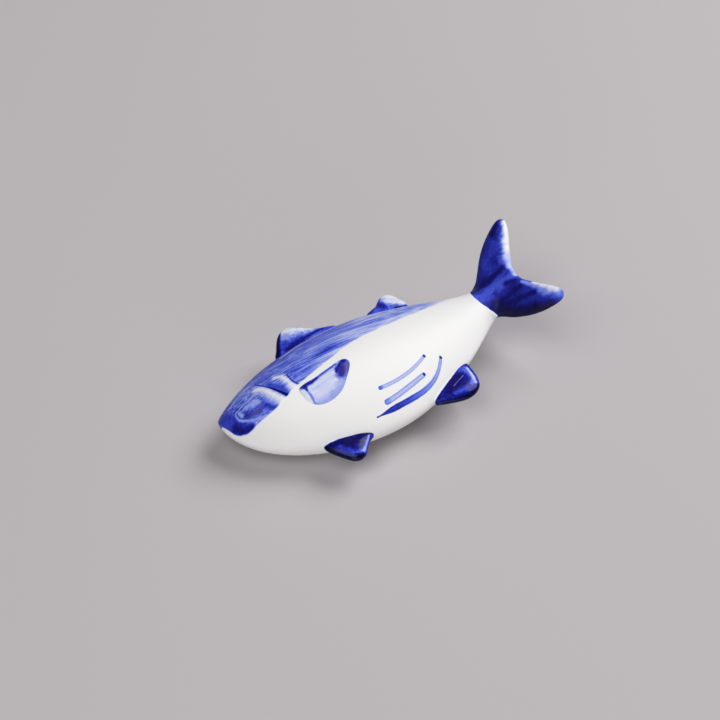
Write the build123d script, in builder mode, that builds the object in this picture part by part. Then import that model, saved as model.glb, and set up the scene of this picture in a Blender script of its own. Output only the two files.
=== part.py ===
from build123d import *

import os
from math import cos, pi, radians, sin

# A porcelain chopstick rest in the form of a small fish, sizes in millimetres and degrees.
# The fish lies on its right flank with its snout towards -X and its back towards +Y.
# The origin is the middle of the foot, the flat patch that stands on the table.

# Body, along and across the parting plane between its two pressed halves
body_length = 60.0  # snout to tail wrist
back_depth = 10.5  # long axis to the ridge of the back
belly_depth = 17.9  # long axis to the belly edge
upper_rise = 8.2  # crown of the upper flank over the parting plane
lower_drop = 8.4  # lower flank under the parting plane, before the foot is ground
wrist_depth = 4.6  # long axis to each edge of the tail wrist
wrist_rise = 3.0  # each face of the wrist from the parting plane
back_crest = 30.6  # snout to the deepest place of the back
belly_crest = 29.0  # snout to the deepest place of the belly
flank_crest = 25.2  # snout to the thickest place of the flanks
snout_flat = 0.12  # first section behind the tip of the snout

# Curves of the body: how blunt each edge leaves the snout and how fully it runs to the wrist
back_bluntness = 1.25
belly_bluntness = 1.92
flank_bluntness = 1.7
back_fullness = 1.64
belly_fullness = 1.12
flank_fullness = 1.5
upper_lean = 0.3  # how far the upper section leans in from its edges, by its depth
lower_lean = 0.1  # the same for the flatter lower section
section_count = 16

# How the body lies over its foot
foot_from_snout = 23.0  # middle of the foot, along the long axis
axis_from_foot = 4.3  # long axis beside the middle of the foot, towards the back
foot_grind = 1.05  # ground off the lower flank to make the foot
roll = 3.0  # belly edge lower than the back
pitch = 3.0  # tail higher than the snout

# Hollow inside the two halves, and the firing vent through the foot
wall = 2.4  # flanks
seam_wall = 3.2  # rims where the halves are luted together
foot_floor = 2.4  # over the foot
cavity_front = 7.5  # snout to the front of the hollow
cavity_end_wall = 8.0  # solid clay before the wrist
cavity_sections = 8
vent_radius = 1.6
vent_from_foot_middle = 6.5

# Tail, along and across its own raised plane from the middle of the wrist
tail_rise = 40.0  # from the parting plane
tail_length = 15.7  # to the corner of each lobe, before its tip is rounded
tail_half_span = 13.0
tail_notch = 8.7  # wrist to the bottom of the fork
tail_fork_flare = 1.3  # trailing edge behind the notch, part of the way out along each lobe
tail_fork_half_span = 4.5
tail_thickness = 2.8
tail_root_run = 4.0  # wrist to where the root has thinned to the blade
tail_root_half_span = 8.2
tail_root_overlap = 2.4  # blade carried back inside the root
tail_tip_radius = 1.2
tail_edge_radius = 1.05
tail_edge_bulge = 0.7  # how far each leading edge bows outwards

# Fins round the edge of the body
fin_thickness = 2.4
fin_edge_radius = 0.9
fin_tip_radius = 1.7
fin_root = 4.0  # outline carried inside the body before it is cut to seat

# Each fin: its start behind the snout, its length along the edge of the body,
# how far its tip sets back from its start, and its height over the edge
front_dorsal_start = 17.0
front_dorsal_length = 12.6
front_dorsal_set_back = 5.4
front_dorsal_height = 5.5
rear_dorsal_start = 38.0
rear_dorsal_length = 9.4
rear_dorsal_set_back = 6.4
rear_dorsal_height = 4.4
pelvic_start = 15.3
pelvic_length = 9.3
pelvic_set_back = 4.9
pelvic_height = 5.8
anal_start = 39.2
anal_length = 9.4
anal_set_back = 9.0
anal_height = 7.4

# Relief applied to the upper flank
pectoral_start = 15.1  # front of the leaf from the snout
pectoral_length = 11.0
pectoral_width = 6.5
pectoral_from_axis = 4.4  # upper edge of the leaf at its tip, towards the belly
pectoral_relief = 0.6
eye_from_snout = 5.9
eye_from_axis = 3.0
eye_length = 5.2
eye_width = 3.8
eye_slant = -28.0
eye_relief = 0.7

# Outline of the pectoral leaf from its front and upper edge, by shares of its length and width
leaf_shape = [
    (0, 0.42),
    (0.12, 0.22),
    (0.55, 0.08),
    (0.92, 0),
    (1, 0.16),
    (0.8, 0.65),
    (0.4, 1),
    (0.12, 0.8),
]

# An edge is rounded by no more than this share of the thickness behind it
round_limit = 0.4

# A cubic curve crowns at three quarters of the height of its two middle handles
handle_share = 0.75

along = Vector(cos(radians(pitch)), 0, sin(radians(pitch)))
across = Vector(
    -sin(radians(roll)) * sin(radians(pitch)),
    cos(radians(roll)),
    sin(radians(roll)) * cos(radians(pitch)),
)
over_foot = Vector(0, axis_from_foot, lower_drop - foot_grind)
parting = Plane(origin=over_foot - along * foot_from_snout, x_dir=along, z_dir=along.cross(across))
wrist_middle = parting.from_local_coords((body_length, 0, 0))
tail_along = parting.x_dir * cos(radians(tail_rise)) + parting.z_dir * sin(radians(tail_rise))
tail_plane = Plane(origin=wrist_middle, x_dir=tail_along, z_dir=tail_along.cross(parting.y_dir))


def swell(reach, crest, bluntness, fullness, wrist_share):
    # Share of a full size at a distance from the snout
    if reach < crest:
        return (1 - (1 - reach / crest) ** 2) ** (1 / bluntness)
    past = min((reach - crest) / (body_length - crest), 1)
    return wrist_share + (1 - wrist_share) * (1 - past**2) ** fullness


def back_at(reach):
    return back_depth * swell(reach, back_crest, back_bluntness, back_fullness, wrist_depth / back_depth)


def belly_at(reach):
    share = swell(reach, belly_crest, belly_bluntness, belly_fullness, wrist_depth / belly_depth)
    return belly_depth * share


def rise_at(reach):
    return upper_rise * swell(reach, flank_crest, flank_bluntness, flank_fullness, wrist_rise / upper_rise)


def drop_at(reach):
    return lower_drop * swell(reach, flank_crest, flank_bluntness, flank_fullness, wrist_rise / lower_drop)


def section_plane(reach):
    # Across the body: local x towards the back, local y towards the upper flank
    middle = parting.from_local_coords((reach, 0, 0))
    return Plane(origin=middle, x_dir=parting.y_dir, z_dir=parting.x_dir)


def flank_curve(back, belly, crown, lean):
    # Draws one flank of a section, from the back edge over to the belly edge
    lean_in = lean * (back + belly)
    handle = crown / handle_share
    Bezier((back, 0), (back - lean_in, handle), (lean_in - belly, handle), (-belly, 0))


def body_section(reach):
    back = back_at(reach)
    belly = belly_at(reach)
    with BuildSketch(section_plane(reach)) as section:
        with BuildLine():
            flank_curve(back, belly, rise_at(reach), upper_lean)
            flank_curve(back, belly, -drop_at(reach), lower_lean)
        make_face()
    return section.sketch


def relief_section(reach, relief):
    # The upper flank raised by the thickness of applied relief
    back = back_at(reach) + relief
    belly = belly_at(reach) + relief
    with BuildSketch(section_plane(reach)) as section:
        with BuildLine():
            flank_curve(back, belly, rise_at(reach) + relief, upper_lean)
            Line((-belly, 0), (back, 0))
        make_face()
    return section.sketch


def cavity_section(reach):
    back = back_at(reach) - seam_wall
    belly = belly_at(reach) - seam_wall
    with BuildSketch(section_plane(reach)) as section:
        with BuildLine():
            flank_curve(back, belly, rise_at(reach) - wall, upper_lean)
            flank_curve(back, belly, wall - drop_at(reach), lower_lean)
        make_face()
    return section.sketch


def wrist_section(plane, half_span, half_thickness):
    with BuildSketch(plane) as section:
        with BuildLine():
            flank_curve(half_span, half_span, half_thickness, upper_lean)
            flank_curve(half_span, half_span, -half_thickness, lower_lean)
        make_face()
    return section.sketch


def fin(start, length, set_back, height, edge_at, side):
    # A rounded triangular pad in the parting plane, cut to sit on the edge of the body
    end = start + length
    tip = start + set_back
    with BuildPart() as pad:
        with BuildSketch(parting) as outline:
            with BuildLine():
                Polyline(
                    (start, side * (edge_at(start) - fin_root)),
                    (start, side * edge_at(start)),
                    (tip, side * (edge_at(tip) + height)),
                    (end, side * edge_at(end)),
                    (end, side * (edge_at(end) - fin_root)),
                    close=True,
                )
            make_face()
            fillet(outline.vertices().sort_by(Axis.Y, reverse=side > 0)[0], fin_tip_radius)
        extrude(amount=fin_thickness / 2, both=True)
        edge_radius = min(fin_edge_radius, round_limit * fin_thickness)
        fillet(pad.faces().filter_by(parting).edges(), edge_radius)
        add(trunk.part, mode=Mode.SUBTRACT)
    return pad


# Outer form of the two halves together
body_step = pi / section_count
reaches = [snout_flat]
for number in range(1, section_count + 1):
    reaches.append(body_length * (1 - cos(body_step * number)) / 2)

with BuildPart() as trunk:
    loft(sections=[body_section(reach) for reach in reaches])

# Hollow that the two halves close over
cavity_run = body_length - cavity_end_wall - cavity_front
cavity_pitch = cavity_run / (cavity_sections - 1)

with BuildPart() as cavity:
    loft(sections=[cavity_section(cavity_front + cavity_pitch * number) for number in range(cavity_sections)])
    split(bisect_by=Plane.XY.offset(foot_floor), keep=Keep.TOP)

# Upper half
with BuildPart() as upper_body:
    add(trunk.part)
    split(bisect_by=parting, keep=Keep.TOP)
    add(cavity.part, mode=Mode.SUBTRACT)

# Lower half, ground flat on the foot and pierced by the vent
with BuildPart() as lower_body:
    add(trunk.part)
    split(bisect_by=parting, keep=Keep.BOTTOM)
    split(bisect_by=Plane.XY, keep=Keep.TOP)
    add(cavity.part, mode=Mode.SUBTRACT)
    with Locations((vent_from_foot_middle, 0, 0)):
        Hole(vent_radius)

# Tail: a root that thins from the wrist, and a forked blade
blade_start = tail_root_run - tail_root_overlap
blade_start_half_span = wrist_depth + (tail_root_half_span - wrist_depth) * blade_start / tail_root_run
lead_middle = (blade_start + tail_length) / 2
lead_middle_half_span = (blade_start_half_span + tail_half_span) / 2 + tail_edge_bulge
fork_reach = tail_notch + tail_fork_flare
root_end = Plane(
    origin=tail_plane.from_local_coords((tail_root_run, 0, 0)),
    x_dir=tail_plane.y_dir,
    z_dir=tail_plane.x_dir,
)

with BuildPart() as tail_fin:
    with BuildSketch(tail_plane) as blade_outline:
        with BuildLine():
            Line((blade_start, -blade_start_half_span), (blade_start, blade_start_half_span))
            ThreePointArc(
                (blade_start, blade_start_half_span),
                (lead_middle, lead_middle_half_span),
                (tail_length, tail_half_span),
            )
            Spline(
                (tail_length, tail_half_span),
                (fork_reach, tail_fork_half_span),
                (tail_notch, 0),
                (fork_reach, -tail_fork_half_span),
                (tail_length, -tail_half_span),
            )
            ThreePointArc(
                (tail_length, -tail_half_span),
                (lead_middle, -lead_middle_half_span),
                (blade_start, -blade_start_half_span),
            )
        make_face()
        fillet(blade_outline.vertices().group_by(Axis.X)[-1], tail_tip_radius)
    extrude(amount=tail_thickness / 2, both=True)
    blade_edge_radius = min(tail_edge_radius, round_limit * tail_thickness)
    fillet(tail_fin.faces().filter_by(tail_plane).edges(), blade_edge_radius)
    loft(
        sections=[
            wrist_section(section_plane(body_length), wrist_depth, wrist_rise),
            wrist_section(root_end, tail_root_half_span, tail_thickness / 2),
        ]
    )

# Fins on the ridge of the back and on the belly edge
front_dorsal_fin = fin(
    front_dorsal_start, front_dorsal_length, front_dorsal_set_back, front_dorsal_height, back_at, 1
)
rear_dorsal_fin = fin(
    rear_dorsal_start, rear_dorsal_length, rear_dorsal_set_back, rear_dorsal_height, back_at, 1
)
pelvic_fin = fin(pelvic_start, pelvic_length, pelvic_set_back, pelvic_height, belly_at, -1)
anal_fin = fin(anal_start, anal_length, anal_set_back, anal_height, belly_at, -1)

# Leaf of the pectoral fin, applied to the upper flank
leaf_points = []
for along_share, across_share in leaf_shape:
    leaf_reach = pectoral_start + along_share * pectoral_length
    leaf_points.append((leaf_reach, -pectoral_from_axis - across_share * pectoral_width))

with BuildPart() as pectoral_fin:
    with BuildSketch(parting):
        with BuildLine():
            Spline(leaf_points, periodic=True)
        make_face()
    extrude(amount=upper_rise + 2 * pectoral_relief)
    loft(sections=[relief_section(reach, pectoral_relief) for reach in reaches], mode=Mode.INTERSECT)
    add(trunk.part, mode=Mode.SUBTRACT)

# Eye, applied to the cheek
with BuildPart() as eye:
    with BuildSketch(parting):
        with Locations((eye_from_snout, -eye_from_axis)):
            Ellipse(eye_length / 2, eye_width / 2, rotation=eye_slant)
    extrude(amount=upper_rise + 2 * eye_relief)
    loft(sections=[relief_section(reach, eye_relief) for reach in reaches], mode=Mode.INTERSECT)
    add(trunk.part, mode=Mode.SUBTRACT)

pieces = {
    "upper_body": upper_body,
    "lower_body": lower_body,
    "tail_fin": tail_fin,
    "front_dorsal_fin": front_dorsal_fin,
    "rear_dorsal_fin": rear_dorsal_fin,
    "pelvic_fin": pelvic_fin,
    "anal_fin": anal_fin,
    "pectoral_fin": pectoral_fin,
    "eye": eye,
}

os.makedirs("parts", exist_ok=True)
for name, piece in pieces.items():
    piece.part.label = name
    export_step(piece.part, f"parts/{name}.step")
    print(name, "volume", round(piece.part.volume, 1), "solids", len(piece.part.solids()))
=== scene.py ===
from math import cos, exp, pi, radians, sin, sqrt, tan
from types import SimpleNamespace

import bmesh
import bpy
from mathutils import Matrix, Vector
from mathutils.bvhtree import BVHTree
from mathutils.geometry import interpolate_bezier


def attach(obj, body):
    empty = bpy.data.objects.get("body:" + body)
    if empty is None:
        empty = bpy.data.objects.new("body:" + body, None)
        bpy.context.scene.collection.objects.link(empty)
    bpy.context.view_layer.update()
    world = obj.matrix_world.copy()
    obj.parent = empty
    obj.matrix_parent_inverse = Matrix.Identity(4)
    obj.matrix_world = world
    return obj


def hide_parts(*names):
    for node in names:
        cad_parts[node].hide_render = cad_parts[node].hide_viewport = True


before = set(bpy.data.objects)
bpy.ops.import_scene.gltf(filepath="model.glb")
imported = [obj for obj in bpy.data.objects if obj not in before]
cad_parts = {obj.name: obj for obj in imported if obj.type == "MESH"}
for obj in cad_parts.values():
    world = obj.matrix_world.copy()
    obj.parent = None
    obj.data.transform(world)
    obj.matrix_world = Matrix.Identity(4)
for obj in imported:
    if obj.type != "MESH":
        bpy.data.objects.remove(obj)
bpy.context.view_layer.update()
mm = 0.001

# How the fish lies over its foot, in mm and degrees, as its solids do
lie = {
    "pitch": 3.0,
    "roll": 3.0,
    "footFromSnout": 23.0,
    "axisFromFoot": 4.3,
    "axisHeight": 7.35,
}
pitch = radians(lie["pitch"])
roll = radians(lie["roll"])
along = Vector((cos(pitch), 0, sin(pitch)))
across = Vector((-sin(roll) * sin(pitch), cos(roll), sin(roll) * cos(pitch)))
outward = along.cross(across)
snout = Vector((0, lie["axisFromFoot"], lie["axisHeight"])) - along * lie["footFromSnout"]


def bodyPoint(reach, side, height):
    # reach runs from the snout to the tail, side towards the back, height through the upper flank
    return (snout + along * reach + across * side + outward * height) * mm


def smoothStep(low, high, value):
    share = min(max((value - low) / (high - low), 0), 1)
    return share * share * (3 - 2 * share)


def bell(distance, width):
    return exp(-((distance / width) ** 2))


def meltInto(pad, ground, fillet):
    # height of a pad with a fillet where it meets the ground, going on inside where the ground is higher
    overlap = max(fillet - abs(pad - ground), 0) / fillet
    return min(max(pad, ground) + overlap * overlap * fillet / 4, pad + fillet)


# Mesh tools
def bridgeHoops(bm, hoops):
    # closes a skin over a row of hoops, each a list of points, and caps both ends
    lastEdges = None
    for points in hoops:
        ring = bmesh.ops.create_circle(bm, segments=len(points), radius=1)["verts"]
        for vert, point in zip(ring, points):
            vert.co = point
        edges = list({edge for vert in ring for edge in vert.link_edges})
        if lastEdges is None:
            bmesh.ops.edgeloop_fill(bm, edges=edges)
        else:
            bmesh.ops.bridge_loops(bm, edges=lastEdges + edges)
        lastEdges = edges
    bmesh.ops.edgeloop_fill(bm, edges=lastEdges)
    bmesh.ops.recalc_face_normals(bm, faces=bm.faces)


def smoothLoop(points, steps):
    # a closed curve through a few points
    loop = []
    count = len(points)
    for n in range(count):
        before, start, end, after = [Vector((*points[(n + k - 1) % count], 0)) for k in range(4)]
        leave = start + (end - before) / 6
        arrive = end - (after - start) / 6
        loop += interpolate_bezier(start, leave, arrive, end, steps + 1)[:-1]
    return loop


def padHoops(outline, middle, shares, place):
    # hoops over a flat outline, from the middle of its underside round its edge to the middle of its top
    hoops = []
    turns = [(-1, share) for share in shares] + [(0, 1)] + [(1, share) for share in reversed(shares)]
    for face, share in turns:
        hoops.append([place(middle.lerp(point, share), share, face) for point in outline])
    return hoops


def finishPiece(name, bm, levels, material, nodes):
    mesh = bpy.data.meshes.new(name)
    bm.to_mesh(mesh)
    bm.free()
    mesh.shade_smooth()
    piece = bpy.data.objects.new(name, mesh)
    bpy.context.scene.collection.objects.link(piece)
    smoothing = piece.modifiers.new("glaze_smoothing", "SUBSURF")
    smoothing.levels = levels
    smoothing.render_levels = levels
    piece.data.materials.append(material)
    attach(piece, "root")
    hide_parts(*nodes)
    print("made", name, len(mesh.polygons), "faces before smoothing")


# Shader sums: a wire is a socket that does arithmetic by adding nodes
class Wire:
    def __init__(self, tree, socket=None):
        self.tree = tree
        self.socket = socket

    def add(self, kind, output, inputs, stops=None, curve=None, **settings):
        node = self.tree.nodes.new("ShaderNode" + kind)
        for name, value in settings.items():
            setattr(node, name, value)
        if stops:
            while len(node.color_ramp.elements) < len(stops):
                node.color_ramp.elements.new(1)
            for element, (place, paint) in zip(node.color_ramp.elements, stops):
                element.position = place
                element.color = paint
        if curve:
            points = node.mapping.curves[0].points
            while len(points) < len(curve):
                points.new(0.5, 0.5)
            for point, place in zip(points, curve):
                point.location = place
            node.mapping.update()
        for name, value in inputs.items():
            if isinstance(value, Wire):
                self.tree.links.new(value.socket, node.inputs[name])
            else:
                node.inputs[name].default_value = value
        return Wire(self.tree, node.outputs[output])

    def math(self, operation, *values):
        return self.add("Math", 0, dict(enumerate(values)), operation=operation)

    def vector(self, operation, output, inputs):
        return self.add("VectorMath", output, inputs, operation=operation)

    def __add__(self, other):
        return self.math("ADD", self, other)

    def __radd__(self, other):
        return self.math("ADD", other, self)

    def __sub__(self, other):
        return self.math("SUBTRACT", self, other)

    def __rsub__(self, other):
        return self.math("SUBTRACT", other, self)

    def __mul__(self, other):
        return self.math("MULTIPLY", self, other)

    def __rmul__(self, other):
        return self.math("MULTIPLY", other, self)

    def __truediv__(self, other):
        return self.math("DIVIDE", self, other)

    def __rtruediv__(self, other):
        return self.math("DIVIDE", other, self)

    def __pow__(self, other):
        return self.math("POWER", self, other)

    def __abs__(self):
        return self.math("ABSOLUTE", self)

    def most(self, other):
        return self.math("MAXIMUM", self, other)

    def least(self, other):
        return self.math("MINIMUM", self, other)

    def step(self, low, high):
        # 0 at low, 1 at high, smooth between, and the other way round where low is the larger
        return self.add("MapRange", 0, {0: self, 1: low, 2: high}, interpolation_type="SMOOTHSTEP")

    def hump(self, middle, width):
        # 1 on the middle, fading to 0 a width away
        return abs(self - middle).step(width, 0)

    def blend(self, first, second):
        # first where this is 0, second where it is 1
        return first + (second - first) * self

    def tint(self, first, second):
        return self.add("Mix", 2, {0: self, 6: first, 7: second}, data_type="RGBA")

    def noise(self, detail):
        inputs = {"Vector": self, "Scale": 1, "Detail": detail, "Roughness": 0.55}
        return self.add("TexNoise", 0, inputs)


def colour(red, green, blue):
    # a screen colour of 0 to 255 as the shader takes it
    parts = [value / 255 for value in (red, green, blue)]
    return (*[part / 12.92 if part < 0.04045 else ((part + 0.055) / 1.055) ** 2.4 for part in parts], 1)


# Cobalt under clear glaze: the colour by how thickly the wash lies
glaze = {
    "washes": [
        (0.0, colour(241, 240, 239)),
        (0.12, colour(206, 212, 241)),
        (0.3, colour(147, 162, 232)),
        (0.45, colour(98, 118, 226)),
        (0.58, colour(61, 78, 206)),
        (0.7, colour(37, 45, 164)),
        (0.84, colour(18, 19, 110)),
        (1.0, colour(7, 6, 46)),
    ],
    "violet": colour(62, 42, 112),
    "biscuit": colour(214, 205, 192),
    "sheen": 0.17,
    "roughness": 0.2,
    "satinSheen": 0.08,
    "satin": 0.4,
    "biscuitRoughness": 0.8,
    "bareFoot": (0.12, 0.03),  # height over the table, in mm, where the glaze was wiped off
    "mottle": 0.34,
    "mottleGrain": ((1.7, 1.7, 1.7), 2),
    "rippleGrain": ((0.26, 0.26, 0.26), 2),
    "rippleStrength": 0.05,
    "rippleDepth": 0.6,
    "cloudWeight": 0.4,
    "grainWeight": 0.2,
    "thinnest": 0.3,
}


def newGlaze(name):
    # a glazed material in the making, with the body's reach, side and height in mm
    material = bpy.data.materials.new(name)
    material.use_nodes = True
    place = Wire(material.node_tree).add("TexCoord", "Object", {})
    offset = place.vector("SUBTRACT", 0, {0: place, 1: snout * mm})
    axes = (along, across, outward)
    spots = [offset.vector("DOT_PRODUCT", 1, {0: offset, 1: axis / mm}) for axis in axes]
    reach, side, height = spots
    return SimpleNamespace(
        material=material, place=place, spots=spots, reach=reach, side=side, height=height
    )


def pattern(spots, waves, detail):
    # clouds with so many waves to the mm along each of three directions
    x, y, z = [spot * wave for spot, wave in zip(spots, waves)]
    return x.add("CombineXYZ", 0, {0: x, 1: y, 2: z}).noise(detail)


def cloudWash(tone, cloud, grain):
    # a plain wash that lies unevenly
    wash = tone + (cloud - 0.5) * glaze["cloudWeight"] + (grain - 0.5) * glaze["grainWeight"]
    return wash.least(1).most(glaze["thinnest"])


def plugGlaze(finish, wash, violet=0.0, bare=None, evenness=1.0, roughness=glaze["roughness"]):
    # lays the wash under the glaze, with bare clay where the glaze was wiped off
    tree = finish.material.node_tree
    shader = tree.nodes["Principled BSDF"]
    mottle = pattern(finish.spots, *glaze["mottleGrain"])
    wash = wash * ((mottle - 0.5) * (glaze["mottle"] / evenness) + 1)
    paint = wash.add("ValToRGB", 0, {0: wash}, stops=glaze["washes"])
    if isinstance(violet, Wire):
        paint = violet.tint(paint, glaze["violet"])
    shader.inputs["Specular IOR Level"].default_value = glaze["sheen"]
    shader.inputs["Roughness"].default_value = roughness
    if bare is not None:
        paint = bare.tint(paint, glaze["biscuit"])
        shader.inputs["Specular IOR Level"].default_value = glaze["satinSheen"]
        roughness = bare.blend(glaze["satin"], glaze["biscuitRoughness"])
        tree.links.new(roughness.socket, shader.inputs["Roughness"])
    ripple = pattern(finish.spots, *glaze["rippleGrain"])
    depth = glaze["rippleDepth"] * mm
    bump = ripple.add("Bump", 0, {"Strength": glaze["rippleStrength"], "Distance": depth, "Height": ripple})
    tree.links.new(paint.socket, shader.inputs["Base Color"])
    tree.links.new(bump.socket, shader.inputs["Normal"])
    return finish.material


# Brush work: a touch is a path of places, its half width at both ends, the wash that it leaves, how softly it
# ends, and how far it turns violet
def touch(path, width, tone, soft, violet=0.0):
    return {"path": path, "width": width, "tone": tone, "soft": soft, "violet": violet}


def nearPath(x, y, path, width):
    # distance from a path, by shares of the brush's half width there
    spot = x.add("CombineXYZ", 0, {0: x, 1: y, 2: 0})
    count = len(path) - 1
    near = None
    for n in range(count):
        start = Vector((*path[n], 0))
        run = Vector((*path[n + 1], 0)) - start
        first, last = [width[0] + (width[1] - width[0]) * k / count for k in (n, n + 1)]
        offset = spot.vector("SUBTRACT", 0, {0: spot, 1: start})
        share = offset.vector("DOT_PRODUCT", 1, {0: offset, 1: run / run.length_squared})
        share = share.add("Clamp", 0, {0: share})
        foot = share.vector("SCALE", 0, {0: run, 3: share})
        off = foot.vector("DISTANCE", 1, {0: offset, 1: foot})
        off = off / (first if first == last else share * (last - first) + first)
        near = off if near is None else near.least(off)
    return near


def brushOver(x, y, grain, wash, violet, touches):
    # lays touches one over the other, with edges that waver with the grain
    for one in touches:
        near = nearPath(x, y, one["path"], one["width"]) + (grain - 0.5) * one["soft"] * 2
        mask = near.step(1 + one["soft"], 1 - one["soft"])
        wash = mask.blend(wash, one["tone"])
        if one["violet"] or isinstance(violet, Wire):
            violet = mask.blend(violet, one["violet"])
    return wash, violet


# The body's form in mm, the same curves as its two pressed halves
bodyForm = {
    "length": 60.0,
    "back": {"depth": 10.5, "crest": 30.6, "bluntness": 1.25, "fullness": 1.64, "wrist": 4.25},
    "belly": {"depth": 18.1, "crest": 29.0, "bluntness": 1.92, "fullness": 1.12, "wrist": 4.0},
    "rise": {"depth": 8.2, "crest": 25.2, "bluntness": 1.7, "fullness": 1.5, "wrist": 2.9},
    "drop": {"depth": 8.4, "crest": 25.2, "bluntness": 1.7, "fullness": 1.5, "wrist": 2.9},
    "upperLean": 0.3,
    "lowerLean": 0.1,
    "snoutFlat": 0.16,
    "hoops": 185,
    "hoopSides": 112,
    "hoopCrowding": 1.8,  # hoops stand closer together towards the snout
    "rimSoftening": 12,
    "rimFactor": 0.5,
    "rimWidth": 1.6,
    "rimStart": 1.5,
    "rimShort": 0.2,
    "footRounding": 0.25,
    "footSkin": 0.1,
    "endCap": [(0.5, 0.93), (0.95, 0.74), (1.2, 0.45), (1.3, 0.12)],  # past the wrist, share of its size
    "ventPlace": (6.5, 0.0),
    "ventRadius": 1.6,
    "ventDepth": 5.0,
}

# Folds of the gill cover: where each starts and ends, its ridge and the groove behind it
gillFolds = [
    {"start": (9.4, 0.9), "end": (12.3, -4.9), "ridge": 0.2, "ridgeAhead": 0.95, "ridgeWidth": 0.95,
     "groove": 0.26, "grooveWidth": 0.36, "fadeIn": (-2.4, 1.2), "fadeOut": (-0.6, 1.1)},
    {"start": (14.3, -0.4), "end": (15.2, -4.7), "ridge": 0.1, "ridgeAhead": 1.0, "ridgeWidth": 1.0,
     "groove": 0.1, "grooveWidth": 0.36, "fadeIn": (-1.6, 1.2), "fadeOut": (-0.6, 1.6)},
]


def swell(reach, edge):
    # how far an edge or a flank stands from the long axis at a distance from the snout
    reach = min(max(reach, 0), bodyForm["length"])
    if reach < edge["crest"]:
        return edge["depth"] * (1 - (1 - reach / edge["crest"]) ** 2) ** (1 / edge["bluntness"])
    past = (reach - edge["crest"]) / (bodyForm["length"] - edge["crest"])
    return edge["wrist"] + (edge["depth"] - edge["wrist"]) * (1 - past * past) ** edge["fullness"]


def flank(turn, back, belly, crown, lean):
    # turn runs from 0 on the back edge to 1 on the belly edge
    leanIn = lean * (back + belly)
    rest = 1 - turn
    side = back * rest**3 + 3 * (back - leanIn) * rest**2 * turn
    side += 3 * (leanIn - belly) * rest * turn**2 - belly * turn**3
    return side, 4 * crown * rest * turn


def gillLift(reach, side):
    # rise and fall of the gill cover's folds over the plain flank
    lift = 0
    for fold in gillFolds:
        start = Vector(fold["start"])
        run = Vector(fold["end"]) - start
        offset = Vector((reach, side)) - start
        down = offset.dot(run.normalized())
        behind = offset.dot(Vector((-run.y, run.x)).normalized())
        fade = smoothStep(*fold["fadeIn"], down)
        fade *= 1 - smoothStep(*fold["fadeOut"], down - run.length)
        lift += fade * fold["ridge"] * bell(behind + fold["ridgeAhead"], fold["ridgeWidth"])
        lift -= fade * fold["groove"] * bell(behind, fold["grooveWidth"])
    return lift


def sectionPoint(reach, place, turn, size):
    back = swell(reach, bodyForm["back"])
    belly = swell(reach, bodyForm["belly"])
    if turn < 0.5:
        crown = swell(reach, bodyForm["rise"])
        side, height = flank(2 * turn, back, belly, crown, bodyForm["upperLean"])
    else:
        crown = -swell(reach, bodyForm["drop"])
        side, height = flank(2 - 2 * turn, back, belly, crown, bodyForm["lowerLean"])
    return bodyPoint(place, side * size, height * size)


def softenRim(bm):
    # rounds the seam where the halves were luted and sponged
    form = bodyForm
    end = form["length"] - form["rimShort"]
    rim = [vert for vert in bm.verts if abs((vert.co / mm - snout).dot(outward)) < form["rimWidth"]]
    rim = [vert for vert in rim if form["rimStart"] < (vert.co / mm - snout).dot(along) < end]
    axes = {"use_axis_x": True, "use_axis_y": True, "use_axis_z": True}
    for turn in range(form["rimSoftening"]):
        bmesh.ops.smooth_vert(bm, verts=rim, factor=form["rimFactor"], **axes)


def foldGills(bm):
    bm.normal_update()
    for vert in bm.verts:
        offset = vert.co / mm - snout
        if offset.dot(outward) > 0:
            vert.co += vert.normal * gillLift(offset.dot(along), offset.dot(across)) * mm


def grindFoot(bm):
    # flattens the underside on the table plane, with a soft edge round the foot
    rounding = bodyForm["footRounding"] * mm
    for vert in bm.verts:
        if vert.co.z < -rounding:
            vert.co.z = 0
        elif vert.co.z < rounding:
            vert.co.z = (vert.co.z + rounding) ** 2 / (4 * rounding)


def cutVent(bm):
    # the firing vent through the foot
    middle = Vector((*bodyForm["ventPlace"], 0)) * mm
    radius = bodyForm["ventRadius"] * mm
    inside = [face for face in bm.faces if face.calc_center_median().z < bodyForm["footSkin"] * mm]
    inside = [face for face in inside if (face.calc_center_median() - middle).length < radius]
    edges = {edge for face in inside for edge in face.edges}
    rim = [edge for edge in edges if len([face for face in edge.link_faces if face in inside]) == 1]
    bmesh.ops.delete(bm, geom=inside, context="FACES")
    for vert in {vert for edge in rim for vert in edge.verts}:
        offset = vert.co - middle
        vert.co = middle + offset.normalized() * radius
    wall = bmesh.ops.extrude_edge_only(bm, edges=rim)["geom"]
    top = [part for part in wall if isinstance(part, bmesh.types.BMVert)]
    bmesh.ops.translate(bm, verts=top, vec=(0, 0, bodyForm["ventDepth"] * mm))
    edges = [part for part in wall if isinstance(part, bmesh.types.BMEdge)]
    edges = [edge for edge in edges if all(vert in top for vert in edge.verts)]
    bmesh.ops.edgeloop_fill(bm, edges=edges)
    bmesh.ops.recalc_face_normals(bm, faces=bm.faces)


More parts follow.
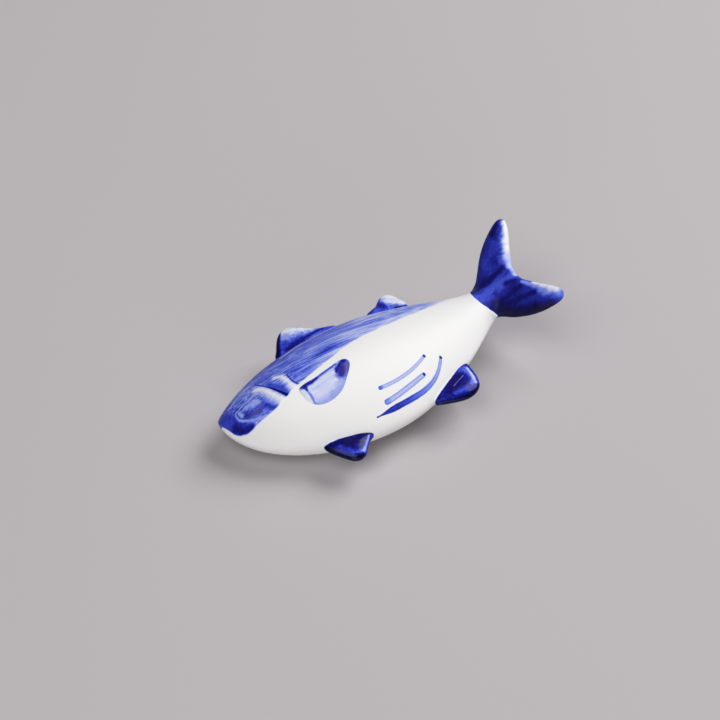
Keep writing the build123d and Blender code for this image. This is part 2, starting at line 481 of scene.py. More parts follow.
# Blue of the back: its lower edge as places along the body and across it, how it ends under the snout and by
# the tail, the patterns that streak it and their weights, where it lies thicker or thinner, and a painted
# shade at the far rim
backWash = {
    "lowerEdge": [
        (0.0, -0.9), (0.8, -3.3), (1.67, -5.15), (2.52, -6.0), (4.0, -6.7), (5.7, -6.65), (7.5, -6.65),
        (9.8, -6.4), (11.1, -5.8), (12.5, -5.6), (13.9, -4.9), (15.1, -4.7), (22.1, -3.0), (30.0, -0.6),
        (40.3, 0.9), (51.2, 2.9), (60.0, 5.2),
    ],
    "edgeLow": -8.0,
    "edgeHigh": 6.0,
    "edgeSoft": (-0.1, 0.25),
    "fray": 0.6,
    "frayFrom": (8, 20),
    "wrapUnder": (-2.2, -1.4),
    "wrapWaver": 2,
    "snoutLift": 1.2,
    "snoutReach": (3, 0.5),
    "tailEnd": (56.5, 47.5),
    "tailFray": 16,
    "tone": 0.35,
    "streaks": 0.66,
    "thinnest": 0.14,
    "thickest": 0.97,
    "fine": ((0.1, 3.6, 2.4), 4),
    "fineWeight": 1.75,
    "broad": ((0.05, 0.8, 0.35), 2),
    "broadWeight": 0.8,
    "cloud": ((0.2, 0.3, 0.2), 2),
    "cloudWeight": 0.4,
    "ridge": (2.6, 1.5, 0.1),  # place over the lower edge, width, wash
    "loads": [  # what the wash follows, from where to where, and how much it gains
        ("over", 1.6, 0.2, -0.05),
        ("reach", 24, 12, 0.1),
        ("reach", 6.5, 0.8, 0.1),
        ("reach", 22, 38, -0.11),
    ],
    # painted shade: the wash gains towards the far rim of the back, fading out towards the tail
    "farRimPaintedShade": 0.2,
    "farRimShadeSide": (2.5, 6.5),
    "farRimShadeReach": (42, 26),
}

# The pale line round the front of the eye, on the head and on the eye's own relief
eyeLine = [
    (3.2, -1.9), (2.9, -2.3), (2.75, -2.8), (2.8, -3.3), (3.1, -3.9), (3.6, -4.5), (4.4, -5.1), (6.0, -6.0),
]

# Touches on the head, from the snout back: snout, dark chin corner, lines over and before the eye, wedge
# behind it, cheek, gill ridges whose white is painted highlight and glaze breaking thin, the creases behind
# them and the cobalt that pools there
headTouches = [
    touch([(0.6, 1.2), (1.2, -2.6), (2.4, -4.6)], (0.8, 1.4), 0.62, 1.0),
    touch([(1.7, -4.4), (2.6, -5.6), (4.3, -6.3)], (0.8, 0.5), 0.82, 1.0),
    touch([(2.6, 0.2), (5.4, 1.8), (8.0, 2.5)], (0.1, 0.35), 0.24, 1.0),
    touch([(2.9, -1.65), (5.1, -1.85)], (0.14, 0.18), 0.7, 0.8),
    touch([(3.35, -2.0), (5.6, -1.5), (8.0, -1.2)], (0.12, 0.25), 0.28, 1.0),
    touch([*eyeLine, (7.3, -6.4)], (0.12, 0.26), 0.3, 1.0),
    touch([(8.1, -2.3), (8.2, -3.4), (8.5, -4.5)], (0.2, 0.35), 0.58, 1.0, 0.2),
    touch([(8.3, -4.8), (9.4, -6.1)], (0.5, 0.5), 0.7, 0.9),
    touch([(9.0, -2.4), (9.3, -3.6), (10.2, -5.2)], (0.7, 0.7), 0.33, 1.0),
    # White first gill ridge: painted highlight, together with the glaze breaking thin over it
    touch([(8.3, -0.2), (9.3, -1.3), (10.0, -3.1), (10.9, -4.9), (11.4, -5.7)], (0.62, 0.72), 0.03, 1.0),
    touch([(10.9, -0.9), (12.1, -3.1), (13.1, -5.2)], (0.4, 0.7), 0.6, 1.0),
    touch([(9.2, 1.6), (10.0, -0.4), (10.9, -2.2)], (0.1, 0.16), 0.74, 0.8, 0.2),
    touch([(10.7, -1.8), (11.6, -3.6), (12.6, -5.4)], (0.16, 0.26), 0.96, 0.7),
    # Pale second gill ridge: painted highlight, together with the glaze breaking thin over it
    touch([(12.6, -0.1), (13.7, -0.9), (14.1, -2.6), (14.4, -4.8)], (0.5, 0.9), 0.05, 1.0),
    touch([(14.7, -1.3), (14.85, -3.3), (15.5, -4.6)], (0.14, 0.2), 0.64, 0.9, 0.4),
]

# A pale line along the rim between the fins
rimTouches = [
    touch(
        [(17.0, 6.0), (21.0, 7.2), (24.0, 7.8), (27.0, 8.2), (30.0, 8.9), (36.0, 9.1)], (0.3, 0.2), 0.14, 1.0
    ),
]


def backPaint(finish):
    # brushed wash of the back and head, thick at the snout, streaked lengthwise
    form = backWash
    reach, side, height = finish.spots
    length = bodyForm["length"]
    span = form["edgeHigh"] - form["edgeLow"]
    curve = [(place / length, (edge - form["edgeLow"]) / span) for place, edge in form["lowerEdge"]]
    edge = reach.add("FloatCurve", 0, {"Value": reach / length}, curve=curve) * span + form["edgeLow"]
    fine, broad, cloud = [pattern(finish.spots, *form[kind]) for kind in ("fine", "broad", "cloud")]
    over = side - edge + (fine - 0.5) * reach.step(*form["frayFrom"]) * form["fray"]
    wash = (broad - 0.5) * form["broadWeight"] + (fine - 0.5) * form["fineWeight"]
    wash = (wash + (cloud - 0.5) * form["cloudWeight"]) * form["streaks"] + form["tone"]
    ridge, width, load = form["ridge"]
    wash = wash + over.hump(ridge, width) * load
    places = {"reach": reach, "over": over}
    for name, low, high, load in form["loads"]:
        wash = wash + places[name].step(low, high) * load
    # painted shade: darker blue towards the far rim of the back
    wash = wash + side.step(*form["farRimShadeSide"]) * reach.step(*form["farRimShadeReach"]) * form["farRimPaintedShade"]
    wash = wash.least(form["thickest"]).most(form["thinnest"])
    wash, violet = brushOver(reach, side, fine, wash, 0.0, headTouches + rimTouches)
    lifted = reach.step(*form["snoutReach"]) * form["snoutLift"]
    wrap = height + (broad - 0.5) * form["wrapWaver"] - lifted
    mask = over.step(*form["edgeSoft"]) * wrap.step(*form["wrapUnder"])
    mask = mask * (reach + (fine - 0.5) * form["tailFray"]).step(*form["tailEnd"])
    return wash * mask, violet * mask


# Brush strokes on the flank: start, length along the body, lift towards the back, how late the bend comes,
# the share of the lift in its hooked end, half width and its taper, wash at the middle and at the borders,
# how heavily the brush was loaded where it came down, and where it reached its full width
flankStrokes = [
    {"start": (29.1, -11.97), "length": 11.4, "lift": 2.84, "bend": 2.3, "hook": 0.0, "width": 0.32,
     "taper": 0.1, "tone": 0.2, "border": 0.1, "load": 0.3, "loadEnd": 0.08, "point": -0.1},
    {"start": (29.2, -14.38), "length": 9.55, "lift": 2.22, "bend": 1.4, "hook": 0.0, "width": 0.42,
     "taper": 0.1, "tone": 0.2, "border": 0.16, "load": 0.16, "loadEnd": 0.14, "point": -0.1},
    {"start": (26.3, -15.8), "length": 17.4, "lift": 5.74, "bend": 1.6, "hook": 0.65, "width": 0.43,
     "taper": 0.3, "tone": 0.26, "border": 0.1, "load": 0.41, "loadEnd": 1.0, "point": 0.25},
]
strokeBrush = {
    "grain": ((1.3, 1.3, 1.3), 2),
    "upperOnly": (-0.5, 0.5),
    "hookPower": 6,
    "taperFrom": (0.5, 1),
    "pointRun": 0.3,
    "slimmest": 0.25,
    "waver": 0.3,
    "edgeSoft": (1.2, 0.8),
    "endSoft": (1.005, 0.995),
    "loadHeld": 0.15,
    "borderSoft": (0.3, 0.85),
    "beadRadius": 0.3,
    "beadSoft": (1.25, 0.75),
    "beadTone": 0.76,
}


def strokePaint(finish, grain, stroke):
    # a line that ends in the dark bead of a lifted brush
    brush = strokeBrush
    power = brush["hookPower"]
    length, lift, bend = stroke["length"], stroke["lift"], stroke["bend"]
    startReach, startSide = stroke["start"]
    run = (finish.reach - startReach) / length
    share = run.most(0.0001)
    plain, hook = [lift * part for part in (1 - stroke["hook"], stroke["hook"])]
    middle = share**bend * plain + share**power * hook + startSide
    slope = share ** (bend - 1) * (plain * bend / length)
    slope = slope + share ** (power - 1) * (power * hook / length)
    off = (finish.side - middle) / (slope * slope + 1) ** 0.5
    taper = run.step(*brush["taperFrom"]) * stroke["taper"]
    swelling = run.step(stroke["point"] - brush["pointRun"], stroke["point"])
    width = stroke["width"] * (swelling - taper).most(brush["slimmest"])
    before = (run * -length).most(0)
    near = (off * off + before * before) ** 0.5 / width + (grain - 0.5) * brush["waver"]
    inside = near.step(*brush["edgeSoft"]) * run.step(*brush["endSoft"])
    load = run.step(stroke["loadEnd"], stroke["loadEnd"] * brush["loadHeld"]) * stroke["load"]
    wash = stroke["tone"] + near.step(*brush["borderSoft"]) * stroke["border"] + load
    bead = ((finish.reach - startReach - length) ** 2 + (finish.side - startSide - lift) ** 2) ** 0.5
    bead = bead.step(*[brush["beadRadius"] * soft for soft in brush["beadSoft"]])
    return (wash * inside).most(bead * brush["beadTone"])


# Where the blue of the tail begins on the wrist, how it slants and wavers, and how its wash and glaze lie
tailWash = {
    "start": 60.39,
    "slant": 0.206,
    "lift": 0.8,
    "liftFrom": 1.1,
    "waver": 0.5,
    "waverGrain": ((0.2, 0.4, 0.4), 2),
    "soft": 0.12,
    "tone": 0.74,
    "evenness": 2.0,
    "roughness": 0.45,
    "cloud": ((0.25, 0.4, 0.25), 3),
    "grain": ((0.5, 0.9, 0.5), 2),
}


def wristMask(finish):
    lift = finish.height.most(tailWash["liftFrom"]) * tailWash["lift"]
    start = finish.reach + finish.side * tailWash["slant"] + lift
    waver = pattern(finish.spots, *tailWash["waverGrain"])
    low, high = [tailWash["start"] + soft for soft in (-tailWash["soft"], tailWash["soft"])]
    return (start + (waver - 0.5) * tailWash["waver"]).step(low, high)


def makeBodyGlaze():
    finish = newGlaze("body_glaze")
    wash, violet = backPaint(finish)
    grain = pattern(finish.spots, *strokeBrush["grain"])
    upper = finish.height.step(*strokeBrush["upperOnly"])
    for stroke in flankStrokes:
        wash = wash.most(strokePaint(finish, grain, stroke) * upper)
    wash = wristMask(finish).blend(wash, tailPaint(finish))
    up = finish.place.vector("DOT_PRODUCT", 1, {0: finish.place, 1: (0, 0, 1 / mm)})
    return plugGlaze(finish, wash, violet, up.step(*glaze["bareFoot"]))


def makeBody():
    form = bodyForm
    count = form["hoops"]
    sides = form["hoopSides"]
    hoops = []
    for n in range(count + 1):
        reach = form["snoutFlat"] + (form["length"] - form["snoutFlat"]) * (n / count) ** form["hoopCrowding"]
        hoops.append([sectionPoint(reach, reach, k / sides, 1) for k in range(sides)])
    end = form["length"]
    for past, size in form["endCap"]:
        hoops.append([sectionPoint(end, end + past, k / sides, size) for k in range(sides)])
    bm = bmesh.new()
    bridgeHoops(bm, hoops)
    softenRim(bm)
    foldGills(bm)
    grindFoot(bm)
    cutVent(bm)
    skin = BVHTree.FromBMesh(bm)
    finishPiece("glazed_body", bm, 1, makeBodyGlaze(), ["upper_body", "lower_body"])
    return skin


def skinHeight(spot, out, face):
    # height of the body's skin over a place, along a direction, or None beside the body
    far = 25.0
    hit = bodySkin.ray_cast((spot + out * far * face) * mm, out * -face, 2 * far * mm)[0]
    return None if hit is None else face * (hit / mm - spot).dot(out)


# Fins on the rim: outlines as places along and across the body, in mm, where they thin out, and the line
# where their blue begins
finForms = {
    "front_dorsal_fin": {
        "thickness": 2.5,
        "thin": (25.0, 31.0),
        "outline": [
            (17.0, 8.3), (18.1, 10.5), (19.6, 13.0), (21.1, 14.3), (22.4, 14.6), (23.8, 14.1), (25.0, 13.3),
            (26.2, 12.5), (27.8, 11.5), (29.6, 10.9), (31.6, 10.4), (31.0, 8.0), (18.6, 6.0),
        ],
        "tone": 0.56,
        "touches": [
            # Pale crown: painted highlight, together with the wash lying thinner over the edge
            touch([(21.6, 13.4), (23.6, 12.9), (26.4, 11.7)], (1.6, 0.8), 0.04, 1.0),
            touch([(20.9, 11.4), (21.3, 12.3)], (0.5, 0.6), 0.3, 1.0),
            touch([(20.0, 9.6), (20.5, 10.8)], (0.6, 0.5), 0.64, 1.0),
            touch(
                [(20.2, 8.8), (21.5, 9.3), (24.4, 9.8), (27.0, 10.3), (29.0, 10.6)],
                (0.75, 0.1), 0.84, 1.0, 0.06,
            ),
            # Dark front edge: painted shade
            touch([(17.0, 8.4), (18.4, 11.1), (20.4, 13.9)], (1.1, 0.5), 0.99, 0.5),
        ],
    },
    "rear_dorsal_fin": {
        "thickness": 2.3,
        "thin": (46.5, 47.5),
        "outline": [
            (37.6, 9.2), (40.2, 10.35), (41.6, 11.5), (42.6, 12.2), (43.7, 12.45), (44.7, 12.05),
            (45.4, 11.1), (45.9, 9.8), (46.6, 8.4), (45.6, 6.6), (39.6, 7.0),
        ],
        "tone": 0.5,
        "touches": [
            # This touch and the next: pale crown and rear slope, painted highlight together with the wash
            # lying thinner over the edge
            touch([(43.3, 11.6), (44.6, 10.9), (45.6, 9.6), (46.8, 8.7)], (1.2, 0.9), 0.03, 1.0),
            touch([(43.2, 10.1), (44.5, 9.2), (45.8, 8.5)], (0.8, 0.8), 0.07, 1.0),
            touch([(41.1, 10.2), (41.7, 9.0)], (0.8, 0.7), 0.76, 1.0),
            touch([(43.4, 8.4), (44.4, 8.2)], (0.3, 0.3), 0.5, 1.0, 0.3),
            touch([(43.8, 7.8), (46.8, 7.5)], (0.22, 0.26), 0.84, 0.9),
            touch([(38.6, 9.4), (40.2, 10.4), (41.8, 11.8)], (0.5, 0.5), 0.76, 0.8),
        ],
    },
    "pelvic_fin": {
        "thickness": 2.5,
        "outline": [
            (14.8, -15.2), (15.3, -17.0), (16.3, -18.5), (17.3, -19.9), (18.4, -21.0), (19.6, -21.4),
            (21.0, -20.9), (22.0, -19.8), (22.75, -18.9), (23.7, -18.1), (24.6, -17.5), (24.6, -16.5),
            (23.4, -13.6), (16.6, -12.6),
        ],
        "tone": 0.88,
        "paintLine": ((14.4, -15.3), (23.6, -16.3)),
        "touches": [
            # Paler streak: painted reflection of the lamps
            touch([(17.2, -17.5), (18.8, -19.7)], (0.6, 0.8), 0.66, 1.0),
            touch([(19.0, -17.3), (20.2, -18.0)], (0.8, 0.7), 0.93, 0.9, 0.2),
            # Paler patch: painted reflection of the lamps
            touch([(20.7, -20.2), (19.0, -20.2)], (0.4, 0.5), 0.54, 1.0),
            touch([(20.4, -18.8), (20.7, -19.0)], (0.5, 0.5), 0.78, 1.0, 0.15),
            # Pale rear edge: painted highlight, together with the wash lying thin at the edge
            touch([(23.4, -17.7), (21.9, -19.3), (20.9, -20.3)], (0.22, 0.36), 0.26, 1.0),
            touch([(24.5, -17.3), (22.5, -19.3), (21.4, -20.7)], (0.25, 0.25), 0.74, 0.9),
            # Dark lower edge: painted shade
            touch([(14.8, -16.6), (16.0, -19.0), (17.7, -21.1), (20.4, -21.8)], (0.8, 1.0), 1.0, 0.6),
        ],
    },
    "anal_fin": {
        "thickness": 2.5,
        "outline": [
            (38.6, -16.5), (39.2, -17.3), (41.2, -18.0), (43.4, -18.6), (45.4, -18.75), (47.2, -18.2),
            (48.5, -17.0), (49.1, -15.2), (49.2, -13.0), (48.9, -10.9), (46.6, -8.8), (40.4, -12.8),
        ],
        "tone": 0.81,
        "paintLine": ((38.2, -16.7), (48.3, -11.1)),
        "touches": [
            # This touch and the next two: paler patches and band near the rear edge, painted reflections of
            # the lamps
            touch([(42.9, -17.1), (45.6, -17.0)], (0.4, 0.5), 0.58, 1.0),
            touch([(46.6, -12.7), (47.6, -12.5)], (0.6, 0.6), 0.56, 1.0),
            touch([(47.7, -12.8), (47.6, -15.0), (47.2, -16.4)], (0.5, 0.7), 0.5, 1.0),
            touch([(43.2, -15.3), (45.2, -14.2)], (0.9, 0.8), 0.92, 1.0, 0.25),
            touch([(45.7, -15.6), (46.4, -15.1)], (0.7, 0.7), 0.8, 1.0),
            touch([(43.5, -15.5), (46.4, -14.15)], (0.08, 0.08), 0.34, 0.8, 0.3),
            # Pale rear edge: painted highlight, together with the wash lying thin at the edge
            touch([(48.2, -12.6), (48.15, -14.9), (47.8, -16.5)], (0.25, 0.35), 0.14, 1.0),
            touch([(48.95, -12.2), (48.9, -15.3), (48.6, -16.7)], (0.25, 0.25), 0.66, 0.8),
            # Dark lower edge: painted shade
            touch([(38.6, -17.6), (42.0, -18.8), (45.6, -19.2), (48.2, -18.3)], (0.6, 1.2), 1.0, 0.6),
        ],
    },
}
finPad = {
    "shares": [0.04, 0.18, 0.32, 0.45, 0.57, 0.68, 0.78, 0.86, 0.92, 0.97],
    "plumpness": 2.6,
    "thinning": 0.6,
    "steps": 6,
    "cloud": ((0.4, 0.4, 0.4), 3),
    "grain": ((1.1, 1.1, 1.1), 2),
    "lineWaver": 0.25,
    "lineSoft": (-0.1, 0.15),
}


def finPoint(form, spot, share, face):
    pad = form["thickness"] / 2 * sqrt(1 - min(share, 1) ** finPad["plumpness"])
    if "thin" in form:
        # the rear end sinks into the rim
        pad *= 1 - finPad["thinning"] * smoothStep(*form["thin"], spot.x)
    return bodyPoint(spot.x, spot.y, face * pad)


def makeFin(name, form):
    outline = smoothLoop(form["outline"], finPad["steps"])
    middle = sum(outline, Vector((0, 0, 0))) / len(outline)
    bm = bmesh.new()
    bridgeHoops(bm, padHoops(outline, middle, finPad["shares"], lambda *spot: finPoint(form, *spot)))
    finishPiece(name + "_glazed", bm, 2, makeFinGlaze(name, form), [name])


def makeFinGlaze(name, form):
    finish = newGlaze(name + "_glaze")
    reach, side = finish.reach, finish.side
    cloud, grain = [pattern(finish.spots, *finPad[kind]) for kind in ("cloud", "grain")]
    wash = cloudWash(form["tone"], cloud, grain)
    wash, violet = brushOver(reach, side, grain, wash, 0.0, form["touches"])
    if "paintLine" in form:
        start, end = [Vector(place) for place in form["paintLine"]]
        slope = (end.y - start.y) / (end.x - start.x)
        beyond = start.y + (reach - start.x) * slope - side + (grain - 0.5) * finPad["lineWaver"]
        mask = beyond.step(*finPad["lineSoft"])
        wash = wash * mask
        violet = violet * mask
    return plugGlaze(finish, wash, violet)


# Tail: its own raised plane from the middle of the wrist, in mm and degrees
tailForm = {
    "rise": 40.0,
    "outline": [
        (-2.0, 3.2), (-0.6, 4.3), (1.2, 5.3), (3.0, 6.9), (5.5, 9.1), (8.1, 10.7), (10.9, 11.8),
        (12.9, 12.2), (13.9, 11.7), (14.2, 10.6), (13.4, 8.6), (11.7, 6.1), (10.3, 3.7), (9.2, 1.5),
    ],
    "lowerRoot": [(-2.0, 2.6), (-0.6, 3.3), (1.2, 4.75)],
    "middle": 6.0,
    "spread": 0.55,  # how far the hoops reach out into the lobes
    "halfThickness": 1.4,
    "plumpness": 2.8,
    "shares": [0.03, 0.2, 0.4, 0.58, 0.72, 0.83, 0.91, 0.97],
    "fillet": 2.2,
    "underFillet": 0.6,
    "cover": 0.05,
    "wristOverlap": 0.2,
    "dish": 0.25,
    "dishPlace": (6.5, 6.0),
    "dishSize": (3.0, 2.4),
    "steps": 4,
}
tailRise = radians(tailForm["rise"])
tailAlong = along * cos(tailRise) + outward * sin(tailRise)
tailOut = tailAlong.cross(across)
wrist = snout + along * bodyForm["length"]

# Touches on the tail, as places along it and across it from the middle of the wrist
tailTouches = [
    touch([(0.8, 0.6), (4.8, 0.4), (8.3, -0.4)], (1.4, 1.1), 0.55, 1.0),
    touch([(6.0, 6.2), (9.0, 7.4)], (1.3, 1.0), 0.66, 1.0),
    touch([(0.6, 5.2), (4.6, 8.6), (8.0, 10.8), (11.0, 12.0)], (0.8, 0.9), 0.9, 1.0),
    touch([(10.6, 9.9), (12.2, 11.0)], (0.7, 0.5), 0.88, 1.0),
    touch([(0.4, 3.4), (2.0, 3.0), (4.5, 2.5), (7.9, 2.4)], (0.8, 0.45), 0.88, 1.0),
    touch([(2.4, -2.3), (4.9, -3.3), (8.4, -3.8)], (0.45, 0.45), 0.88, 1.0),
    touch([(6.6, -0.9), (8.2, -1.8)], (0.5, 0.4), 0.84, 1.0),
    touch([(3.6, -4.1), (8.0, -6.3), (10.4, -7.5)], (0.6, 0.4), 0.88, 1.0),
    # Pale inner tip of the lower lobe: painted highlight, together with thinner wash
    touch([(10.9, -7.8), (12.2, -9.4), (13.2, -11.0)], (0.6, 1.1), 0.4, 1.0),
    touch([(1.6, -4.6), (6.0, -8.9), (10.4, -11.9)], (1.6, 1.0), 1.0, 1.0),
    # This touch and the next: pale edge of the lower lobe, painted highlight together with thinner wash
    touch([(9.2, -3.0), (11.0, -6.3), (12.6, -8.6)], (0.3, 0.9), 0.34, 1.0),
    touch([(10.7, -4.8), (12.2, -7.1), (13.6, -9.7)], (0.2, 0.85), 0.03, 0.9),
    # This touch and the next: pale trailing edge of the upper lobe, painted highlight together with thinner
    # wash
    touch([(14.0, 10.4), (12.8, 8.2), (11.4, 6.0), (10.2, 4.0)], (0.8, 1.2), 0.42, 1.0),
    touch([(14.2, 10.4), (13.2, 8.2), (11.8, 6.0), (10.6, 4.0)], (0.7, 1.0), 0.0, 0.7),
    touch([(10.4, 4.0), (9.3, 1.8), (8.9, -0.6)], (0.8, 0.3), 0.16, 1.0),
]


def tailPoint(spot, share, face):
    form = tailForm
    run = spot.x
    side = spot.y * (1 + form["spread"] * smoothStep(0, 0.5, share) * (1 / share - 1))
    half = form["halfThickness"] * sqrt(1 - min(share, 1) ** form["plumpness"])
    dishRun, dishSide = form["dishPlace"]
    dishLength, dishWidth = form["dishSize"]
    dish = bell(abs(side) - dishSide, dishWidth) * bell(run - dishRun, dishLength) * (1 - share**2)
    half -= form["dish"] * dish
    place = wrist + tailAlong * run + across * side
    ground = skinHeight(place, tailOut, face) if face else None
    if face > 0:
        # the wrist runs on straight under the root
        arch = skinHeight(wrist - along * form["wristOverlap"] + across * side, outward, 1) or 0
        straight = (arch - run * sin(tailRise)) / cos(tailRise)
        ground = straight if ground is None else max(ground, straight)
    if ground is not None:
        half = meltInto(half, ground + form["cover"], form["fillet"] if face > 0 else form["underFillet"])
    return (place + tailOut * half * face) * mm


def makeTail():
    form = tailForm
    lower = form["lowerRoot"] + form["outline"][len(form["lowerRoot"]):]
    outline = smoothLoop(form["outline"] + [(run, -side) for run, side in reversed(lower)], form["steps"])
    bm = bmesh.new()
    bridgeHoops(bm, padHoops(outline, Vector((form["middle"], 0, 0)), form["shares"], tailPoint))
    finishPiece("tail_fin_glazed", bm, 2, makeTailGlaze(), ["tail_fin"])


def tailPaint(finish):
    # the tail's touches over its plain wash, for the tail and for the end of the body under it
    fromWrist = finish.place.vector("SUBTRACT", 0, {0: finish.place, 1: wrist * mm})
    run = fromWrist.vector("DOT_PRODUCT", 1, {0: fromWrist, 1: tailAlong / mm})
    spots = (run, finish.side, finish.height)
    cloud, grain = [pattern(spots, *tailWash[kind]) for kind in ("cloud", "grain")]
    wash = cloudWash(tailWash["tone"], cloud, grain)
    return brushOver(run, finish.side, grain, wash, 0.0, tailTouches)[0]


def makeTailGlaze():
    finish = newGlaze("tail_glaze")
    wash = tailPaint(finish) * wristMask(finish)
    return plugGlaze(finish, wash, evenness=tailWash["evenness"], roughness=tailWash["roughness"])


# Relief on the upper flank: the leaf of the pectoral fin, and the eye, both rooted under the skin
reliefRoot = {"edge": 0.3, "middle": 0.5}
pectoralForm = {
    "outline": [
        (14.9, -6.0), (15.9, -5.3), (18.7, -5.1), (22.0, -4.5), (25.0, -3.95), (26.2, -4.6), (25.9, -5.9),
        (24.2, -7.9), (22.2, -9.7), (19.5, -10.5), (16.9, -10.1), (15.4, -8.6),
    ],
    "steps": 6,
    "spread": 1.06,
    "shares": [0.05, 0.3, 0.5, 0.68, 0.82, 0.92],
    "relief": 0.55,
    "lowRelief": 0.35,
    "plumpness": 5,
    "edgeDip": 0.08,
    "upperEdge": -4.4,
    "width": 6.5,
    "tone": 0.13,
    "palest": 0.03,
    "cloudWeight": 0.3,
    "cloud": ((0.25, 1.5, 0.1), 3),
    "grain": ((0.9, 0.9, 0.1), 2),
    "touches": [
        touch(
            [(24.8, -6.8), (23.6, -8.4), (21.6, -9.8), (19.0, -10.4), (16.9, -10.1)], (1.0, 0.8), 0.29, 1.0
        ),
        touch([(14.9, -6.2), (15.1, -7.8), (15.9, -9.4)], (0.6, 0.5), 0.05, 0.9),
        touch([(16.1, -6.8), (16.35, -7.8), (16.4, -9.8)], (0.16, 0.2), 0.44, 1.0),
        touch([(17.6, -5.75), (20.3, -5.2), (23.4, -4.7)], (0.36, 0.24), 0.6, 0.9),
        touch([(15.7, -5.6), (17.6, -5.9), (18.8, -5.6)], (0.5, 0.2), 0.76, 0.9, 0.15),
        touch([(16.05, -6.0), (16.15, -6.9)], (0.4, 0.18), 0.8, 0.8),
        touch([(23.7, -6.7), (25.3, -5.4)], (1.0, 0.8), 0.72, 0.8, 0.55),
        touch([(22.8, -6.2), (23.7, -5.4), (25.4, -4.5)], (0.3, 0.55), 0.76, 0.8),
    ],
}
eyeForm = {
    "place": (5.7, -3.4),
    "length": 5.8,
    "width": 4.3,
    "slant": -30.0,
    "sides": 48,
    "shares": [0.06, 0.25, 0.45, 0.62, 0.74, 0.84, 0.92],
    "lift": 0.06,
    "dome": 0.22,
    "domeEnd": 0.95,
    "lid": 0.05,
    "lidPlace": 0.84,
    "lidWidth": 0.09,
    "edgeDip": 0.16,
    "dipStart": 0.86,
    "grain": ((1.2, 1.2, 0.1), 2),
    "touches": [
        touch([(4.4, -4.3), (5.5, -4.7), (6.6, -4.9), (7.5, -4.6)], (0.45, 0.6), 0.66, 1.0, 0.45),
        touch([(7.6, -4.6), (8.0, -3.5), (8.05, -2.3)], (0.45, 0.2), 0.58, 1.0, 0.35),
        touch([(4.8, -2.6), (6.1, -2.8), (7.1, -3.0)], (0.6, 0.85), 0.27, 1.0),
        touch([(3.4, -2.7), (3.7, -3.5)], (0.35, 0.35), 0.26, 1.0),
        touch(eyeLine, (0.1, 0.16), 0.28, 1.0),
    ],
}


def reliefPoint(spot, share, face, rise):
    # a place on the relief's top, which stands up by rise from the skin, or on its root under the skin
    ground = skinHeight(snout + along * spot.x + across * spot.y, outward, 1)
    if face <= 0:
        return bodyPoint(spot.x, spot.y, ground - reliefRoot["edge"] - reliefRoot["middle"] * (1 - share))
    return bodyPoint(spot.x, spot.y, ground + rise(spot, share))


def pectoralRise(spot, share):
    form = pectoralForm
    high = smoothStep(0, 1, 1 + (spot.y - form["upperEdge"]) / form["width"])
    rise = form["relief"] * (form["lowRelief"] + (1 - form["lowRelief"]) * high)
    return rise * sqrt(1 - share ** form["plumpness"]) - form["edgeDip"] * share


def makePectoral():
    form = pectoralForm
    outline = smoothLoop(form["outline"], form["steps"])
    middle = sum(outline, Vector((0, 0, 0))) / len(outline)
    outline = [middle + (point - middle) * form["spread"] for point in outline]
    bm = bmesh.new()
    bridgeHoops(bm, padHoops(outline, middle, form["shares"], lambda *spot: reliefPoint(*spot, pectoralRise)))
    finishPiece("pectoral_fin_glazed", bm, 2, makePectoralGlaze(), ["pectoral_fin"])


def makePectoralGlaze():
    finish = newGlaze("pectoral_glaze")
    form = pectoralForm
    cloud, grain = [pattern(finish.spots, *form[kind]) for kind in ("cloud", "grain")]
    wash = (form["tone"] + (cloud - 0.5) * form["cloudWeight"]).most(form["palest"])
    wash, violet = brushOver(finish.reach, finish.side, grain, wash, 0.0, form["touches"])
    return plugGlaze(finish, wash, violet)


def eyeRise(spot, share):
    form = eyeForm
    lid = form["lid"] * bell(share - form["lidPlace"], form["lidWidth"])
    dome = form["dome"] * (1 - smoothStep(0.0, form["domeEnd"], share))
    return form["lift"] + lid + dome - form["edgeDip"] * smoothStep(form["dipStart"], 1, share)


def makeEye():
    form = eyeForm
    slant = radians(form["slant"])
    middle = Vector((*form["place"], 0))
    longWay = Vector((cos(slant), sin(slant), 0)) * form["length"] / 2
    shortWay = Vector((-sin(slant), cos(slant), 0)) * form["width"] / 2
    turns = [2 * pi * n / form["sides"] for n in range(form["sides"])]
    outline = [middle + longWay * cos(turn) + shortWay * sin(turn) for turn in turns]
    bm = bmesh.new()
    bridgeHoops(bm, padHoops(outline, middle, form["shares"], lambda *spot: reliefPoint(*spot, eyeRise)))
    finishPiece("eye_glazed", bm, 2, makeEyeGlaze(), ["eye"])


def makeEyeGlaze():
    finish = newGlaze("eye_glaze")
    grain = pattern(finish.spots, *eyeForm["grain"])
    wash, violet = backPaint(finish)
    wash, violet = brushOver(finish.reach, finish.side, grain, wash, violet, eyeForm["touches"])
    return plugGlaze(finish, wash, violet)


bodySkin = makeBody()
for name, form in finForms.items():
    makeFin(name, form)
makeTail()
makePectoral()
makeEye()


# Stage: a plain pale floor, a high window past the tail, a high fill past the snout, a low card in front, and
# a dim sky
stage = {
    "floorSize": 4.0,
    "floorColour": colour(191, 186, 188),
    "floorRoughness": 0.9,
    "skyColour": colour(236, 238, 242),
    "sky": 0.06,
    "lamps": {
        "window": {"place": (0.66, 0.08, 0.76), "size": (0.65, 0.65), "power": 8.2},
        "fill": {"place": (-0.45, -0.25, 0.86), "size": (0.7, 0.7), "power": 4.3},
        "card": {"place": (-0.4, -0.85, 0.12), "size": (1.0, 0.2), "power": 3.0},
    },
}


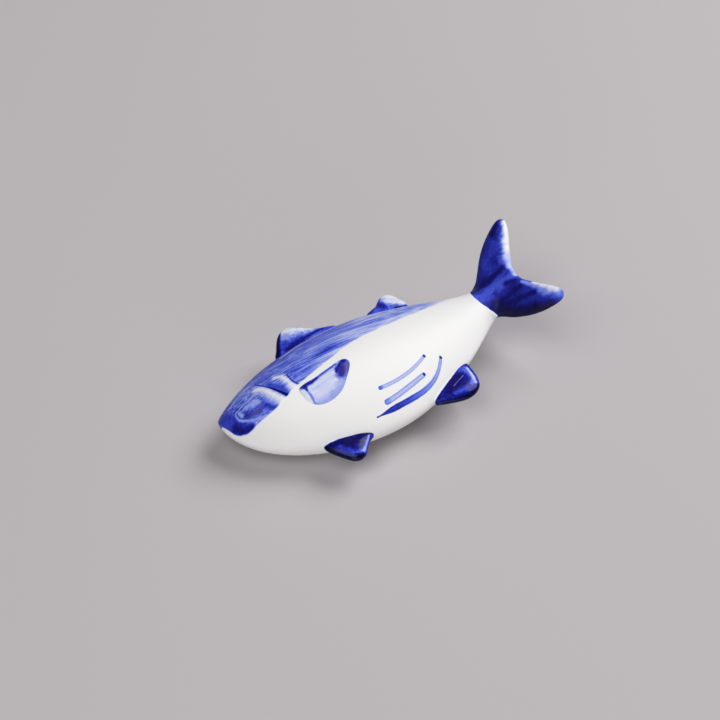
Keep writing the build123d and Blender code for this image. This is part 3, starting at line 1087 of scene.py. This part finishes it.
def makeFloor():
    bm = bmesh.new()
    bmesh.ops.create_grid(bm, x_segments=4, y_segments=4, size=stage["floorSize"])
    mesh = bpy.data.meshes.new("floor")
    bm.to_mesh(mesh)
    bm.free()
    floor = bpy.data.objects.new("floor", mesh)
    bpy.context.scene.collection.objects.link(floor)
    material = bpy.data.materials.new("floor_plaster")
    material.use_nodes = True
    shader = material.node_tree.nodes["Principled BSDF"]
    shader.inputs["Base Color"].default_value = stage["floorColour"]
    shader.inputs["Roughness"].default_value = stage["floorRoughness"]
    mesh.materials.append(material)


def makeLamp(name, lamp):
    light = bpy.data.lights.new(name, "AREA")
    light.shape = "RECTANGLE"
    light.size, light.size_y = lamp["size"]
    light.energy = lamp["power"]
    shade = bpy.data.objects.new(name, light)
    shade.location = lamp["place"]
    shade.rotation_euler = (-Vector(lamp["place"])).to_track_quat("-Z", "Y").to_euler()
    bpy.context.scene.collection.objects.link(shade)


def makeSky():
    world = bpy.data.worlds.new("sky")
    bpy.context.scene.world = world
    world.use_nodes = True
    background = world.node_tree.nodes["Background"]
    background.inputs["Color"].default_value = stage["skyColour"]
    background.inputs["Strength"].default_value = stage["sky"]


makeFloor()
for name, lamp in stage["lamps"].items():
    makeLamp(name, lamp)
makeSky()
print("stage set")

# Camera at the photograph's angle
view = {
    "target": Vector((9.232, 6.039, 6.0)) * mm,
    "distance": 448.85 * mm,
    "azimuth": radians(-29.05),
    "elevation": radians(46.0),
    "fieldOfView": radians(18.0),
    "sensor": 36.0,
    "clipStart": 0.01,
}


def makeCamera():
    data = bpy.data.cameras.new("camera")
    data.sensor_width = view["sensor"]
    data.lens = view["sensor"] / 2 / tan(view["fieldOfView"] / 2)
    data.clip_start = view["clipStart"]
    camera = bpy.data.objects.new("camera", data)
    azimuth, elevation = view["azimuth"], view["elevation"]
    back = Vector((sin(azimuth) * cos(elevation), -cos(azimuth) * cos(elevation), sin(elevation)))
    camera.location = view["target"] + back * view["distance"]
    camera.rotation_euler = (-back).to_track_quat("-Z", "Y").to_euler()
    bpy.context.scene.collection.objects.link(camera)
    bpy.context.scene.camera = camera


makeCamera()
bpy.context.scene.view_settings.view_transform = "Standard"
print("camera set")
